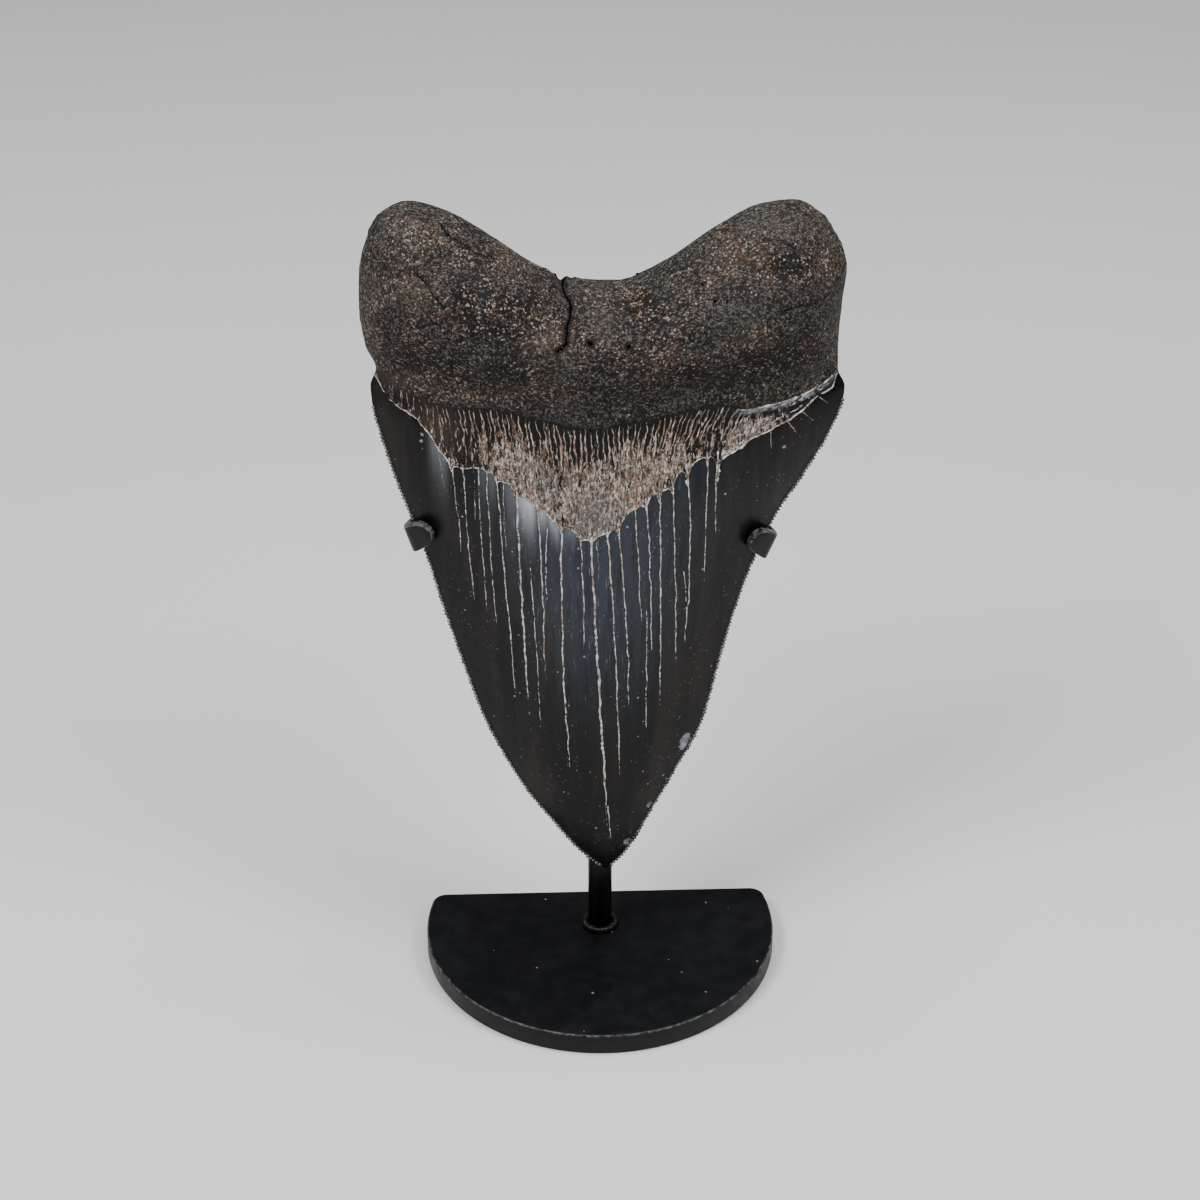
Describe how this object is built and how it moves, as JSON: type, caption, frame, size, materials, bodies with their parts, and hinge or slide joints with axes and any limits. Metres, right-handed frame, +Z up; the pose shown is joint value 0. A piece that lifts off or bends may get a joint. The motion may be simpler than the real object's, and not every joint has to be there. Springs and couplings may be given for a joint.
{
  "type": "fossil shark tooth on a display stand",
  "caption": "Large serrated fossil shark tooth, root up and point down, held by two hooked arms on a bent rod over a half-round base plate.",
  "frame": {"origin": "centre of the plate's round edge, on the plate's underside", "axes": "+Z up, -Y towards the tooth's domed face, +X to the right of someone who looks at that face"},
  "size_m": [0.0979, 0.0657, 0.1684],
  "materials": {
    "fossil": "satin",
    "plate_paint": "satin",
    "post_paint": "satin",
    "strap_paint": "satin"
  },
  "bodies": {
    "root": {"tooth": "fossil", "base_plate": "plate_paint", "post": "post_paint", "strap": "strap_paint"}
  },
  "joints": []
}
